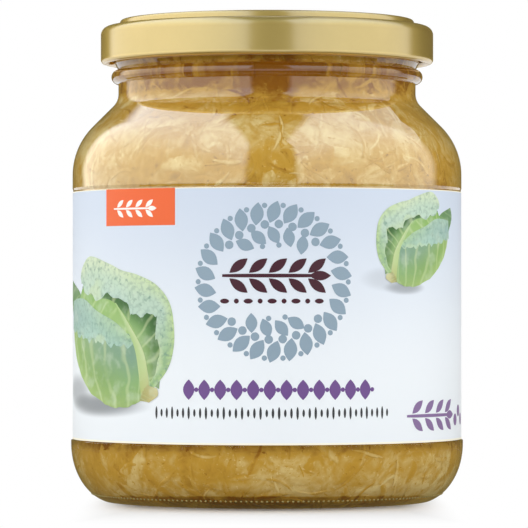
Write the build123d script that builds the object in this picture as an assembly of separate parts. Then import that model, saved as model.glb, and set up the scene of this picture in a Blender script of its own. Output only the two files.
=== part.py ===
"""A round 720 ml glass jar of sauerkraut, shut with an 82 mm twist-off cap and dressed with a wrap label.

The frame: origin at the centre of the base ring's resting plane, +Z up, the label's front towards -Y.
All lengths are in millimetres and all angles in degrees.

Four pieces, each a solid of its own:
  jar         soda glass, blown to one wall thickness, with a pushed-up base and six thread segments
  lid         lacquered steel sheet, drawn to a cap with a stacking ring, a rolled hem and six lugs
  label       a paper band in the recessed panel, with a bare strip where its two ends don't meet
  sauerkraut  shredded cabbage and brine, filling the glass to just below its rim
"""

from build123d import *
from math import acos, copysign, cos, degrees, radians, sin, sqrt, tan
import os

# --- glass: body -------------------------------------------------------------
body_radius = 50.05  # the contact band at the heel, the widest place
wall = 2.4  # glass thickness, from the body to the mouth
heel_reach = 11.45  # how far the rounded heel runs in, to the resting ring
heel_rise = 15.2  # height of the rounded heel
heel_band = 0.2  # straight stretch between the heel and the label panel
panel_recess = 0.55  # the label panel lies this far inside the contact band
panel_ease = 0.6  # height of the slope into the panel, at each end
shoulder_inset = 0.35  # the upper contact band is this much smaller in radius
shoulder_band = 3.4  # straight stretch between the panel and the shoulder

# --- glass: base -------------------------------------------------------------
ring_width = 2.6  # the flat ring that the jar stands on
punt_rise = 2.8  # how far the middle of the base is pushed up
floor_height = 4.6  # inside floor above the table, at its edge
floor_dome = 1.6  # how much higher the inside floor is at its middle

# --- glass: shoulder and neck ------------------------------------------------
shoulder_radius = 17.5  # the convex turn at the top of the body
steepest_lean = 45.0  # the lean of the shoulder's straight stretch
neck_fillet = 4.5  # the hollow turn into the neck
neck_radius = 38.0
neck_rise = 4.3  # from the end of the hollow turn to the middle of the bead
bead_radius = 1.8  # the half-round ring below the cap

# --- glass: threaded mouth ---------------------------------------------------
mouth_height = 12.65  # from the middle of the bead to the rim
mouth_step = 0.9  # the threaded wall stands this far outside the neck
mouth_ease = 1.6  # height of the slope from the neck to the threaded wall
rim_round = 0.5  # rounding of the rim, inside and outside
thread_count = 6
thread_section = 1.1  # radius of a thread segment's round section
thread_sweep = 46.0  # how far round one segment runs
thread_lean = 3.5  # its slope

# --- cap ---------------------------------------------------------------------
sheet = 0.25  # lacquered steel
cap_clearance = 0.3  # between the rolled hem and the threads
hem_radius = 1.1  # outside radius of the rolled hem
hem_turn = 265.0  # how far round the sheet is rolled
hem_gap = 1.5  # between the rolled hem and the bead
cap_shoulder = 2.2  # rounding at the top of the skirt
seat_width = 1.3  # the stacking ring stands this far in from the threaded wall
ring_rise = 1.7  # the stacking ring above the seat
ring_breadth = 3.6
ring_round = 0.7
seat_round = 0.3
panel_sink = 1.1  # the middle panel below the stacking ring
button_radius = 11.0
button_sink = 0.5  # the vacuum pulls the button down
lug_sweep = 12.0
lug_section = 0.9
lug_clearance = 0.3  # between a lug and the threaded wall
lug_offset = 12.0  # a lug has passed its thread's middle by this much
thread_clearance = 0.1  # between a lug and the low end of its thread

# --- label -------------------------------------------------------------------
label_height = 62.8
label_thickness = 0.15
label_margin = 0.35  # between the label and each end of its panel
label_gap = 9.0  # the bare strip at the back, along the glass

# --- contents ----------------------------------------------------------------
headspace = 3.6  # from the contents to the rim

# --- radii that follow -------------------------------------------------------
panel_radius = body_radius - panel_recess
upper_radius = body_radius - shoulder_inset
inside_radius = upper_radius - wall
ring_outer = body_radius - heel_reach
ring_inner = ring_outer - ring_width
bore_radius = neck_radius - wall
mouth_radius = neck_radius + mouth_step
hem_inside = mouth_radius + thread_section + cap_clearance
skirt_radius = hem_inside + 2 * hem_radius
stack_outer = mouth_radius - seat_width
stack_inner = stack_outer - ring_breadth

# --- heights that follow -----------------------------------------------------
panel_bottom = heel_rise + heel_band + panel_ease
label_bottom = panel_bottom + label_margin
label_top = label_bottom + label_height
panel_top = label_top + label_margin
shoulder_start = panel_top + panel_ease + shoulder_band


def shoulder_lean():
    """The lean at which the two shoulder turns meet, never more than the steepest."""
    step = upper_radius - neck_radius
    needed = degrees(acos(1 - step / (shoulder_radius + neck_fillet)))
    return min(steepest_lean, needed)


lean = radians(shoulder_lean())
turned_in = (shoulder_radius + neck_fillet) * (1 - cos(lean))
straight_in = max(upper_radius - neck_radius - turned_in, 0.0)
neck_start = (
    shoulder_start
    + (shoulder_radius + neck_fillet) * sin(lean)
    + straight_in * tan(lean)
)
bead_height = neck_start + neck_rise
rim_height = bead_height + mouth_height
contents_top = rim_height - headspace
hem_height = bead_height + bead_radius + hem_gap + hem_radius
thread_fall = mouth_radius * sin(radians(thread_sweep / 2)) * sin(radians(thread_lean))
thread_height = (
    hem_height + lug_section + thread_section + thread_fall + thread_clearance
)


def turn(centre, radius, start, end):
    """An arc about a centre, from one angle to another."""
    points = [
        (centre[0] + radius * cos(radians(a)), centre[1] + radius * sin(radians(a)))
        for a in (start, (start + end) / 2, end)
    ]
    return ThreePointArc(*points)


def dome(edge_radius, edge_height, middle_height):
    """A shallow arc from a point on the axis out to an edge, level at the axis."""
    rise = middle_height - edge_height
    radius = (edge_radius**2 + rise**2) / (2 * rise)
    half = edge_radius / 2
    half_height = middle_height - radius + copysign(sqrt(radius**2 - half**2), radius)
    return ThreePointArc(
        (0, middle_height), (half, half_height), (edge_radius, edge_height)
    )


def shoulder(offset):
    """The two shoulder turns and the straight stretch between them, moved in by a wall."""
    upper = (upper_radius - shoulder_radius, shoulder_start)
    lower = (neck_radius + neck_fillet, neck_start)
    end = degrees(lean)
    convex = turn(upper, shoulder_radius - offset, 0, end)
    hollow = turn(lower, neck_fillet + offset, 180 + end, 180)
    pieces = [convex]
    if straight_in > 1e-6:
        pieces.append(Line(convex @ 1, hollow @ 0))
    return pieces + [hollow]


def heel(bottom, side):
    """A quarter of an ellipse, from the foot's edge up to the wall."""
    centre = (ring_outer, heel_rise)
    across, up = side - ring_outer, heel_rise - bottom
    return EllipticalCenterArc(centre, across, up, 270, arc_size=90)


def glass_inside():
    """The inner wall, from the middle of the floor up to the mouth's rounding."""
    floor = dome(ring_outer, floor_height, floor_height + floor_dome)
    corner = heel(floor_height, inside_radius)
    curve = shoulder(wall)
    wall_line = Line(corner @ 1, curve[0] @ 0)
    return [floor, corner, wall_line, *curve]


def glass_outside():
    """The outer wall, from the middle of the base up to the mouth's rounding."""
    base = dome(ring_inner, 0, punt_rise)
    foot = Line((ring_inner, 0), (ring_outer, 0))
    corner = heel(0, body_radius)
    panel = Polyline(
        (body_radius, heel_rise),
        (body_radius, heel_rise + heel_band),
        (panel_radius, panel_bottom),
        (panel_radius, panel_top),
        (upper_radius, panel_top + panel_ease),
        (upper_radius, shoulder_start),
    )
    curve = shoulder(0)
    neck = Line((neck_radius, neck_start), (neck_radius, bead_height - bead_radius))
    bead = turn((neck_radius, bead_height), bead_radius, -90, 90)
    mouth = Polyline(
        (neck_radius, bead_height + bead_radius),
        (mouth_radius, bead_height + bead_radius + mouth_ease),
        (mouth_radius, rim_height - rim_round),
    )
    return [base, foot, corner, panel, *curve, neck, bead, mouth]


def rim():
    """The mouth's flat top, rounded at both edges, from the outside to the bore."""
    outer = turn(
        (mouth_radius - rim_round, rim_height - rim_round), rim_round, 0, 90
    )
    inner = turn((bore_radius + rim_round, rim_height - rim_round), rim_round, 90, 180)
    bore = Line(inner @ 1, (bore_radius, neck_start))
    return [outer, Line(outer @ 1, inner @ 0), inner, bore]


def lathe(lines, sweep=360.0):
    """Closes a half-section and turns it about the jar's axis."""
    edges = [edge for line in lines for edge in line.edges()]
    return revolve(Plane.XZ * make_face(edges), Axis.Z, sweep)


def round_the_axis(solid, count, offset=0.0):
    """Copies of a solid, evenly spaced round the jar's axis."""
    return [Rot(0, 0, offset + 360 / count * i) * solid for i in range(count)]


def ring_piece(radius, height, section, sweep):
    """A stretch of a round ring, centred on the +X side of the axis."""
    disc = Plane.XZ * Pos(radius, height) * Circle(section)
    return Rot(0, 0, -sweep / 2) * revolve(disc, Axis.Z, sweep)


def make_jar():
    """The glass, with its thread segments leaning round the mouth."""
    axis_line = Line((0, punt_rise), (0, floor_height + floor_dome))
    body = lathe([*glass_outside(), *rim(), *glass_inside(), axis_line])
    level = ring_piece(mouth_radius, 0, thread_section, thread_sweep)
    thread = Pos(0, 0, thread_height) * Rot(thread_lean, 0, 0) * level
    for segment in round_the_axis(thread, thread_count):
        body += segment
    return body


def cap_face(inset):
    """One face of the drawn sheet, from the axis out and round the hem.

    The outer face has no inset; the inner one lies a sheet's thickness inside it.
    """
    seat = rim_height + sheet
    top = seat + ring_rise
    panel = top - panel_sink
    button = dome(button_radius, panel - inset, panel - button_sink - inset)
    drawn = FilletPolyline(
        (button_radius, panel - inset),
        (stack_inner + inset, panel - inset),
        (stack_inner + inset, top - inset),
        (stack_outer - inset, top - inset),
        (stack_outer - inset, seat - inset),
        (skirt_radius - inset, seat - inset),
        (skirt_radius - inset, hem_height),
        radius=[
            seat_round + inset,
            ring_round - inset,
            ring_round - inset,
            seat_round + inset,
            cap_shoulder - inset,
        ],
    )
    centre = (skirt_radius - hem_radius, hem_height)
    hem = turn(centre, hem_radius - inset, 0, -hem_turn)
    return [button, drawn, hem]


def make_lid():
    """The cap: sheet of one thickness, with lugs pressed in from its hem."""
    outer, inner = cap_face(0), cap_face(sheet)
    hem_end = Line(outer[-1] @ 1, inner[-1] @ 1)
    middle = Line(outer[0] @ 0, inner[0] @ 0)
    body = lathe([*outer, *inner, hem_end, middle])
    reach = mouth_radius + lug_clearance + lug_section
    lug = ring_piece(reach, hem_height, lug_section, lug_sweep)
    for piece in round_the_axis(lug, thread_count, -lug_offset):
        body += piece
    return body


def make_label():
    """A paper band round the panel, open at the back by the bare strip."""
    gap = degrees(label_gap / panel_radius)
    section = Polyline(
        (panel_radius, label_bottom),
        (panel_radius + label_thickness, label_bottom),
        (panel_radius + label_thickness, label_top),
        (panel_radius, label_top),
        (panel_radius, label_bottom),
    )
    return Rot(0, 0, 90 + gap / 2) * lathe([section], 360 - gap)


def make_sauerkraut():
    """Shreds and brine as one solid, touching the glass all round."""
    walls = glass_inside()
    top = Polyline(
        (bore_radius, neck_start),
        (bore_radius, contents_top),
        (0, contents_top),
        (0, floor_height + floor_dome),
    )
    return lathe([*walls, top])


def main():
    os.makedirs("parts", exist_ok=True)
    pieces = {
        "jar": make_jar(),
        "lid": make_lid(),
        "label": make_label(),
        "sauerkraut": make_sauerkraut(),
    }
    for node, solid in pieces.items():
        export_step(solid, f"parts/{node}.step")
        print(node, round(solid.volume / 1000, 1), "ml", solid.bounding_box().size)


main()
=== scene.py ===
# %% [markdown]
# # A jar of sauerkraut
#
# This lesson dresses the engineering model of a 720 ml jar: clear glass, a gold twist-off cap, a
# printed paper label and shredded cabbage in brine. The engineering model is loaded first, as a
# fixed frame. Every piece made here takes its place from that frame and stands in for one of its
# solids, so the looks can grow richer while the sizes stay as they were designed.

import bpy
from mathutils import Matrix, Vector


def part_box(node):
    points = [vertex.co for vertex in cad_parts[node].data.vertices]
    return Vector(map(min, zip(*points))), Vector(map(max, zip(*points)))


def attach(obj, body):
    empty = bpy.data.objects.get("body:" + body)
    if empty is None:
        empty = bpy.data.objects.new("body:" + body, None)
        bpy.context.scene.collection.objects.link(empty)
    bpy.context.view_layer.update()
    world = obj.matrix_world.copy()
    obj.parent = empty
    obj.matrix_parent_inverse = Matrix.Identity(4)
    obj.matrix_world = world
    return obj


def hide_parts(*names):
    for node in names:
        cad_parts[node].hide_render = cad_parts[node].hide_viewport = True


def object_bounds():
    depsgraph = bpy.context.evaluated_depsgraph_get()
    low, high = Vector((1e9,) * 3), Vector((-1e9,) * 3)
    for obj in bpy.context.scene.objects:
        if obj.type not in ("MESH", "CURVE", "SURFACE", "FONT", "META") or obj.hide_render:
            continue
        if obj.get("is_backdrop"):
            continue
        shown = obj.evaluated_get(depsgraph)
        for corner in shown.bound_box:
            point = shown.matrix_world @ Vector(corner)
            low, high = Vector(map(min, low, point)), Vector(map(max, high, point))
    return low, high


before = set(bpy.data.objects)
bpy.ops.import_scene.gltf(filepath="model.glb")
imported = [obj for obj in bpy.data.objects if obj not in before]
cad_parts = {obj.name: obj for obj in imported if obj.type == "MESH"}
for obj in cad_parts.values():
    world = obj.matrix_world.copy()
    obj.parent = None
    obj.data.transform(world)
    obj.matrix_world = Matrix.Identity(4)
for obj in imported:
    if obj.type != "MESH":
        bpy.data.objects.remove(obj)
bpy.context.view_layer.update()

# %% [markdown]
# ## The sizes that everything follows
#
# The box round each solid gives the radii and the levels: how wide the glass is, where the label
# starts and ends, how far the cap comes down and how high the cabbage stands. A box can't tell how
# the glass curves between those levels, so the shoulder, the neck and the mouth have named sizes
# of their own, as the mould maker has them.

# %% Read the levels and radii from the frame
from math import cos, hypot, pi, radians, sin, tan
import random

import bmesh
import bpy
import numpy as np
from mathutils import Matrix, Vector

MM = 0.001
(_, jar_high), (lid_low, lid_high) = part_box("jar"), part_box("lid")
(label_low, label_high), (kraut_low, kraut_high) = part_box("label"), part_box("sauerkraut")

BODY_R, INSIDE_R, LABEL_R, SKIRT_R = jar_high.x, kraut_high.x, label_high.x, lid_high.x
RIM_Z, FILL_Z, FLOOR_Z = jar_high.z, kraut_high.z, kraut_low.z
LABEL_Z0, LABEL_Z1, HEM_Z, CAP_Z = label_low.z, label_high.z, lid_low.z, lid_high.z
LABEL_H = LABEL_Z1 - LABEL_Z0
print("body", round(BODY_R, 5), "inside", round(INSIDE_R, 5), "label", round(LABEL_R, 5))

# %% Name the sizes of the mould
WALL = 2.4 * MM
HEEL_REACH, HEEL_RISE = 11.45 * MM, 15.2 * MM
PAPER = 0.15 * MM
PANEL_EASE, LABEL_MARGIN, SHOULDER_BAND = 0.6 * MM, 0.35 * MM, 3.4 * MM
SHOULDER_TURN, NECK_TURN, NECK_R = 17.5 * MM, 4.5 * MM, 38.0 * MM
NECK_RISE, BEAD = 4.3 * MM, 1.8 * MM
RING_WIDTH, PUNT_RISE, FLOOR_DOME = 2.6 * MM, 2.8 * MM, 1.6 * MM
MOUTH_STEP, MOUTH_EASE, RIM_ROUND = 0.9 * MM, 1.6 * MM, 0.5 * MM
THREADS, THREAD_SECTION, THREAD_SWEEP, THREAD_LEAN = 6, 1.1 * MM, radians(46), radians(3.5)

UPPER_R = INSIDE_R + WALL
PANEL_R = LABEL_R - PAPER
RING_R = BODY_R - HEEL_REACH
BORE_R = NECK_R - WALL
MOUTH_R = NECK_R + MOUTH_STEP
SHOULDER_Z = LABEL_Z1 + LABEL_MARGIN + PANEL_EASE + SHOULDER_BAND
STEEPEST = radians(45)
straight = UPPER_R - NECK_R - (SHOULDER_TURN + NECK_TURN) * (1 - cos(STEEPEST))
NECK_Z = SHOULDER_Z + (SHOULDER_TURN + NECK_TURN) * sin(STEEPEST) + straight * tan(STEEPEST)
BEAD_Z = NECK_Z + NECK_RISE
print("neck starts at", round(NECK_Z, 5), "bead at", round(BEAD_Z, 5), "rim at", round(RIM_Z, 5))

# %% [markdown]
# ## A little language for node trees
#
# Blender's materials and its Geometry Nodes are both trees of nodes, and long lists of links are
# hard to read. So one small class stands for a socket and turns `a * 2 + b` into Math nodes, and
# one method makes every other node from its type, its settings and what goes into its sockets.

# %% Sockets that add up like numbers
class Value:
    """The output of a node. Arithmetic on it adds the Math nodes that work it out."""

    def __init__(self, tree, socket):
        self.tree, self.socket = tree, socket

    def math(self, operation, *others):
        inputs = dict(enumerate((self, *others)))
        return self.tree.node("ShaderNodeMath", {"operation": operation}, inputs)

    def __add__(self, other):
        return self.math("ADD", other)

    def __mul__(self, other):
        return self.math("MULTIPLY", other)

    def __sub__(self, other):
        return self.math("SUBTRACT", other)

    def __truediv__(self, other):
        return self.math("DIVIDE", other)

    def __rsub__(self, other):
        return self.tree.node("ShaderNodeMath", {"operation": "SUBTRACT"}, {0: other, 1: self})

    def __pow__(self, other):
        return self.math("POWER", other)

    __radd__, __rmul__ = __add__, __mul__

    def ease(self, start, end, low=0.0, high=1.0):
        """low before start, high after end, and a smooth change between them."""
        inputs = {0: self, 1: start, 2: end, 3: low, 4: high}
        return self.tree.node("ShaderNodeMapRange", {"interpolation_type": "SMOOTHSTEP"}, inputs)

    def blend(self, first, second):
        """The first colour where this is 0, the second where it is 1."""
        inputs = {0: self, 6: first, 7: second}
        return self.tree.node("ShaderNodeMix", {"data_type": "RGBA"}, inputs, 2)

    def out(self, name):
        return Value(self.tree, self.socket.node.outputs[name])

    def split(self):
        axes = self.tree.node("ShaderNodeSeparateXYZ", {}, {0: self})
        return [axes.out(name) for name in "XYZ"]


# %% One method for every other node
class Tree:
    """A node tree whose nodes all come from one method."""

    def __init__(self, tree):
        self.tree = tree
        tree.nodes.clear()

    def node(self, kind, settings=None, inputs=None, output=0):
        """Makes a node: its settings come first, then the values or the links of its inputs."""
        made = self.tree.nodes.new(kind)
        for name, setting in (settings or {}).items():
            setattr(made, name, setting)
        for name, value in (inputs or {}).items():
            if isinstance(value, Value):
                self.tree.links.new(value.socket, made.inputs[name])
            else:
                made.inputs[name].default_value = value
        return Value(self, made.outputs[output]) if len(made.outputs) else made

    def vector(self, x=0.0, y=0.0, z=0.0):
        return self.node("ShaderNodeCombineXYZ", {}, {0: x, 1: y, 2: z})

    def vectors(self, operation, first, second=(0.0, 0.0, 0.0), scale=1.0):
        inputs = {0: first, 1: second, 3: scale}
        return self.node("ShaderNodeVectorMath", {"operation": operation}, inputs)


def screen(red, green, blue):
    """A colour given as a paint chart or a screen gives it, as the linear light Blender wants."""
    shares = [c / 255 for c in (red, green, blue)]
    return (*[c / 12.92 if c <= 0.04045 else ((c + 0.055) / 1.055) ** 2.4 for c in shares], 1.0)


print("mid grey in linear light:", round(screen(128, 128, 128)[0], 3))


# %% A finish is a material built as a tree
class Finish(Tree):
    """A material. noise() and cells() vary it, shader() is its Principled shader, end() closes it."""

    def __init__(self, name):
        self.material = bpy.data.materials.new(name)
        self.material.use_nodes = True
        super().__init__(self.material.node_tree)
        self.place = self.node("ShaderNodeTexCoord", output="Object")

    def noise(self, scale, detail=2.0, place=None, distortion=0.0):
        inputs = {"Vector": place or self.place, "Scale": scale, "Detail": detail}
        return self.node("ShaderNodeTexNoise", {}, {**inputs, "Distortion": distortion})

    def cells(self, scale, place):
        return self.node("ShaderNodeTexVoronoi", {}, {"Vector": place, "Scale": scale})

    def stretch(self, x, y, z):
        return self.vectors("MULTIPLY", self.place, (x, y, z))

    def uv(self, name):
        return self.node("ShaderNodeUVMap", {"uv_map": name})

    def paint(self, name, output="Color"):
        return self.node("ShaderNodeAttribute", {"attribute_name": name}, output=output)

    def bump(self, height, distance, strength=1.0):
        inputs = {"Height": height, "Distance": distance, "Strength": strength}
        return self.node("ShaderNodeBump", {}, inputs)

    def shader(self, **sockets):
        inputs = {name.replace("_", " "): value for name, value in sockets.items()}
        return self.node("ShaderNodeBsdfPrincipled", {}, inputs)

    def end(self, shader):
        self.node("ShaderNodeOutputMaterial", {}, {0: shader})
        print("finish", self.material.name, "has", len(self.tree.nodes), "nodes")
        return self.material


# %% Everything shown is an object in the scene
def stand(name, data, place=None):
    """Puts a camera, a lamp or a mesh in the scene, at the origin unless it has a place."""
    made = bpy.data.objects.new(name, data)
    bpy.context.scene.collection.objects.link(made)
    if place is not None:
        made.matrix_world = place
    return made


def board_mesh(name, width, height, material):
    """A flat rectangle round the origin, with its finish on."""
    w, h = width / 2, height / 2
    mesh = bpy.data.meshes.new(name)
    mesh.from_pydata([(-w, -h, 0), (w, -h, 0), (w, h, 0), (-w, h, 0)], [], [(0, 1, 2, 3)])
    mesh.materials.append(material)
    return mesh


# %% A rule is a Geometry Nodes tree that makes a piece
class Rule(Tree):
    """A Geometry Nodes tree with named sizes. make() runs it on a mesh and keeps a plain mesh."""

    KINDS = {int: "Int", float: "Float"}

    def __init__(self, name, **sizes):
        super().__init__(bpy.data.node_groups.new(name, "GeometryNodeTree"))
        self.face = self.tree.interface
        self.face.new_socket("Geometry", in_out="INPUT", socket_type="NodeSocketGeometry")
        self.sockets = {}
        for label, value in {**sizes, "Material": None, "Collection": None}.items():
            kind = self.KINDS.get(type(value), label)
            title = label.replace("_", " ")
            made = self.face.new_socket(title, in_out="INPUT", socket_type="NodeSocket" + kind)
            if kind in self.KINDS.values():
                made.default_value = value
            self.sockets[label] = made.identifier
        self.face.new_socket("Geometry", in_out="OUTPUT", socket_type="NodeSocketGeometry")
        self.entry = self.node("NodeGroupInput")
        self.position = self.node("GeometryNodeInputPosition")

    def size(self, label):
        """The size of that name, as a value to reckon with."""
        return self.entry.out(label.replace("_", " "))

    def close(self, geometry):
        """Ends the tree: real meshes in place of instances, with the piece's material."""
        real = self.node("GeometryNodeRealizeInstances", {}, {0: geometry})
        inputs = {"Geometry": real, "Material": self.size("Material")}
        self.node("NodeGroupOutput", {}, {0: self.node("GeometryNodeSetMaterial", {}, inputs)})
        print("rule", self.tree.name, "has", len(self.tree.nodes), "nodes")

    def make(self, name, mesh, **values):
        """Runs the rule on a mesh with these sizes. The result is a plain mesh."""
        host = stand(name + "_host", mesh)
        rule = host.modifiers.new("Rule", "NODES")
        rule.node_group = self.tree
        for label, value in values.items():
            rule[self.sockets[label]] = value
        ready = host.evaluated_get(bpy.context.evaluated_depsgraph_get())
        made = bpy.data.meshes.new_from_object(ready)
        host.modifiers.remove(rule)
        bpy.data.objects.remove(host)
        return made


# %% [markdown]
# ## Camera, floor and light
#
# The jar is shown as a shop shows it: straight on, from a metre away with a long lens, against
# white. A large soft lamp stands at each side. A lamp that lights cabbage well would glare in
# glass, so gloss doesn't see the lamps. It sees a pale card in place of each, faded at its edges
# and cooler towards its top, and these two cards are the broad reflections down the glass. Brown
# cards in front, above, behind and on the table give what lies between them its darker, warmer
# tones. The floor and the world only have to look white to the camera, to glossy rays and to rays
# through glass, so that whiteness comes from Light Path and not from stronger lamps. The lamps
# stay at a level where a colour renders about as written.

# %% Place the camera
FRAME_SIDE = 528
DISTANCE = 0.990
EYE_Z, AIM_Z = 51.2 * MM, 60.9 * MM
OFF_CENTRE = -0.77 * MM
SCALE_AT_AXIS = 3.908 / MM
SENSOR = 36.0

camera = bpy.data.cameras.new("camera")
camera.sensor_width = SENSOR
camera.lens = SENSOR * SCALE_AT_AXIS * DISTANCE / FRAME_SIDE
eye = stand("camera", camera)
eye.location = (OFF_CENTRE, -DISTANCE, EYE_Z)
eye.rotation_euler = (pi / 2 + (AIM_Z - EYE_Z) / DISTANCE, 0, 0)
bpy.context.scene.camera = eye
bpy.context.scene.view_settings.view_transform = "Standard"
print("lens", round(camera.lens, 1), "mm")

# %% Make cards for the reflections
# Each kind of card has a colour for its lower part and a colour for its upper part.
BOARD = ((1.0, 0.76, 0.27, 1.0), (1.0, 0.76, 0.27, 1.0))
SHEEN = ((1.0, 0.94, 0.80, 1.0), (1.0, 1.05, 1.12, 1.0))
LOWER_PART, UPPER_PART, SHARP_EDGE = 0.3, 0.8, 1 * MM


def card(name, tone, colours, width, height, place, left=0.0, right=0.0, bottom=0.0, top=0.0):
    """A glowing card that only reflections see. Each of its edges may fade over a distance."""
    finish = Finish(name)
    x, y, _ = finish.place.split()
    w, h = width / 2, height / 2
    sides = x.ease(-w, SHARP_EDGE + left - w) * x.ease(w - SHARP_EDGE - right, w, 1.0, 0.0)
    ends = y.ease(-h, SHARP_EDGE + bottom - h) * y.ease(h - SHARP_EDGE - top, h, 1.0, 0.0)
    painted = y.ease(LOWER_PART - h, UPPER_PART - h).blend(*colours)
    glow = finish.node("ShaderNodeEmission", {}, {"Color": painted, "Strength": tone})
    nothing = finish.node("ShaderNodeBsdfTransparent")
    shown = finish.node("ShaderNodeMixShader", {}, {0: sides * ends, 1: nothing, 2: glow})
    held = stand(name, board_mesh(name, width, height, finish.end(shown)), place)
    held.visible_camera = held.visible_diffuse = held.visible_shadow = False
    held.visible_transmission = False
    held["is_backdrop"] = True


# %% Hang the light panels
PANEL_REACH, PANEL_LEAN, PANEL_HEIGHT = 0.70, radians(14), 1.7


def light_panel(side, rear_y, front_y, radiance, sheen, **fades):
    """A soft lamp beside the jar that leans over it, and the pale card that gloss sees there."""
    name = ("left", "", "right")[side + 1]
    along = Vector((0, side, 0))
    upwards = Vector((-side * sin(PANEL_LEAN), 0, cos(PANEL_LEAN)))
    middle = Vector((side * PANEL_REACH, (rear_y + front_y) / 2, 0)) + upwards * PANEL_HEIGHT / 2
    axes = Matrix((along, upwards, along.cross(upwards))).transposed()
    place = Matrix.Translation(middle) @ axes.to_4x4()
    lamp = bpy.data.lights.new(name + "_panel", "AREA")
    lamp.shape, lamp.size, lamp.size_y = "RECTANGLE", rear_y - front_y, PANEL_HEIGHT
    lamp.energy = radiance * pi * lamp.size * lamp.size_y
    hung = stand(name + "_panel", lamp, place)
    hung.visible_camera = hung.visible_glossy = False
    card(name + "_sheen", sheen, SHEEN, lamp.size, PANEL_HEIGHT, place, **fades)
    print(name, "lamp:", round(lamp.size, 2), "x", PANEL_HEIGHT, "m,", round(lamp.energy, 1), "W")


light_panel(
    side=-1, rear_y=0.80, front_y=-3.3, radiance=1.30, sheen=1.96,
    left=0.25, right=0.6, bottom=0.05, top=0.3,
)
light_panel(
    side=1, rear_y=0.36, front_y=-2.3, radiance=1.34, sheen=1.74,
    left=0.6, right=0.15, bottom=0.05, top=0.3,
)

# %% Set brown cards between the panels
upright = Matrix.Rotation(pi / 2, 4, "X")
sideways = Matrix.Rotation(pi / 2, 4, "Z") @ upright
FRONT_TONE, TOP_TONE, BACK_TONE, TABLE_TONE = 0.29, 0.08, 0.20, 0.18
TABLE_HALF, KERB = 0.17, 14 * MM


def at(x, y, z):
    """A move to a place, in metres."""
    return Matrix.Translation((x, y, z))


card("front_card", FRONT_TONE, BOARD, 0.80, 2.0, at(0.065, -1.3, 0.9) @ upright, left=0.13, right=0.13)
card("top_card", TOP_TONE, BOARD, 1.4, 3.2, at(0.0, -1.0, 1.6))
card("back_card", BACK_TONE, BOARD, 9.0, 2.2, at(0.0, 1.9, 1.0) @ upright)
card("table_card", TABLE_TONE, BOARD, 2 * TABLE_HALF, 2 * TABLE_HALF, at(0.0, 0.0, 0.5 * MM))
for name, x, y in (("front", 0, -1), ("back", 0, 1), ("left", -1, 0), ("right", 1, 0)):
    edge = at(x * TABLE_HALF, y * TABLE_HALF, KERB / 2) @ (sideways if x else upright)
    card(name + "_kerb", TABLE_TONE, BOARD, 2 * TABLE_HALF, KERB, edge)


# %% Whiten the world and the floor where they are only seen
def seen_rays(tree):
    """1 for rays from the camera, off gloss or through glass, and 0 for rays that gather light."""
    path = tree.node("ShaderNodeLightPath")
    seen = path.math("MAXIMUM", path.out("Is Glossy Ray"))
    return seen.math("MAXIMUM", path.out("Is Transmission Ray"))


WORLD_FILL = 0.08
world = bpy.data.worlds.new("studio")
world.use_nodes = True
bpy.context.scene.world = world
sky = Tree(world.node_tree)
strength = seen_rays(sky).ease(0.0, 1.0, WORLD_FILL, 1.0)
backdrop = sky.node("ShaderNodeBackground", {}, {"Color": (1, 1, 1, 1), "Strength": strength})
sky.node("ShaderNodeOutputWorld", {}, {0: backdrop})

# The floor keeps its shadow near the jar and turns white further away and out to the sides.
FLOOR_SIDE, LIFT = 8.0, 0.03
SHADOW_ROUND, SHADOW_GONE = 45 * MM, 110 * MM
SHADOW_SIDE, SIDE_GONE = 32 * MM, 47 * MM
floor_finish = Finish("white_floor")
near = floor_finish.node("ShaderNodeBsdfDiffuse", {}, {"Color": (0.8, 0.8, 0.8, 1)})
seen = seen_rays(floor_finish)
lift = floor_finish.node("ShaderNodeEmission", {}, {"Strength": seen * LIFT})
lifted = floor_finish.node("ShaderNodeAddShader", {}, {0: near, 1: lift})
white = floor_finish.node("ShaderNodeEmission", {}, {"Strength": 1.0})
away = floor_finish.vectors("LENGTH", floor_finish.place).out("Value")
aside = floor_finish.place.split()[0].math("ABSOLUTE").ease(SHADOW_SIDE, SIDE_GONE)
away = away.ease(SHADOW_ROUND, SHADOW_GONE).math("MAXIMUM", aside)
whitened = floor_finish.node("ShaderNodeMixShader", {}, {0: away * seen, 1: lifted, 2: white})
floor = board_mesh("floor", FLOOR_SIDE, FLOOR_SIDE, floor_finish.end(whitened))
stand("floor", floor)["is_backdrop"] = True

# %% [markdown]
# ## Turned pieces
#
# The glass, the cap and the body of cabbage are all turned shapes: one half-section swept round
# the jar's axis. The half-section is drawn from straight runs and arcs. A Geometry Nodes rule
# sweeps it: it lays a grid with one row for each point of the section, reads the section's radius
# and height for its row, and winds the columns round the axis. The same rule presses a feature
# into the surface several times round, which gives the glass its thread segments and the cap its
# lugs.

# %% Draw half-sections
def run(*points, step=6 * MM, edge=0.12 * MM):
    """Straight runs, with a point close to each end, so that smooth shading stays flat between."""
    line = []
    for (r0, z0), (r1, z1) in zip(points, points[1:]):
        length = hypot(r1 - r0, z1 - z0)
        share = min(edge / length, 0.3)
        inner = np.linspace(share, 1 - share, max(2, int(length / step) + 1))
        line += [(r0 + (r1 - r0) * t, z0 + (z1 - z0) * t) for t in (0, *inner, 1)]
    return line


def arc(centre, radius, start, end, steps=8):
    """A round turn, from one angle to another."""
    angles = np.linspace(start, end, steps + 1)
    return [(centre[0] + radius * cos(a), centre[1] + radius * sin(a)) for a in angles]


def dome(edge_r, edge_z, middle_z, steps=10):
    """A shallow bowl from the axis out to its edge."""
    return [(edge_r * t, middle_z + (edge_z - middle_z) * t * t) for t in np.linspace(0, 1, steps)]


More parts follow.
